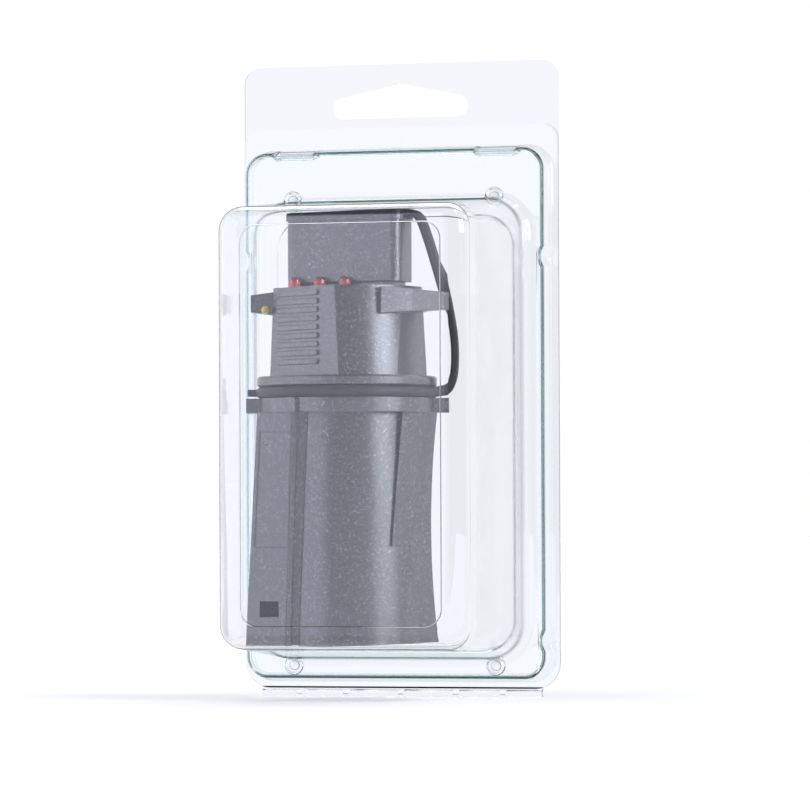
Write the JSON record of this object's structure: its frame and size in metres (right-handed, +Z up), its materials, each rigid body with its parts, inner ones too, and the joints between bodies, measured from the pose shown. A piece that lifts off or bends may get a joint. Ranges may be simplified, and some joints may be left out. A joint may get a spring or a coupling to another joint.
{
  "type": "clamshell pack",
  "caption": "Clear hinged plastic clamshell pack with a hang hole, holding a grey plug adaptor with a rubber dust cap and indicator lamps.",
  "frame": {"origin": "top point of the hang hole, on the rear face of the back sheet", "axes": "+Z up, -Y towards the shopper, +X to the shopper's right"},
  "size_m": [0.097, 0.058, 0.1859],
  "materials": {
    "clear_sheet": "clear glossy thermoformed sheet",
    "grey_housing": "fine satin with a slight metallic fleck",
    "black_rubber": "smooth satin rubber",
    "red_lens": "clear red, glossy",
    "yellow_lens": "clear yellow, glossy"
  },
  "bodies": {
    "back": {"back_shell": "clear_sheet"},
    "front": {"front_shell": "clear_sheet", "lower_housing": "grey_housing", "upper_housing": "grey_housing", "connector_block": "grey_housing", "dust_cap": "black_rubber", "red_lamp_1": "red_lens", "red_lamp_2": "red_lens", "red_lamp_3": "red_lens", "yellow_lamp": "yellow_lens"}
  },
  "joints": [
    {"name": "foot_hinge", "type": "hinge", "parent": "back", "child": "front", "pos_m": [0, -0.0006, -0.1805], "axis": [1, 0, 0], "range_deg": [0, 180]}
  ]
}
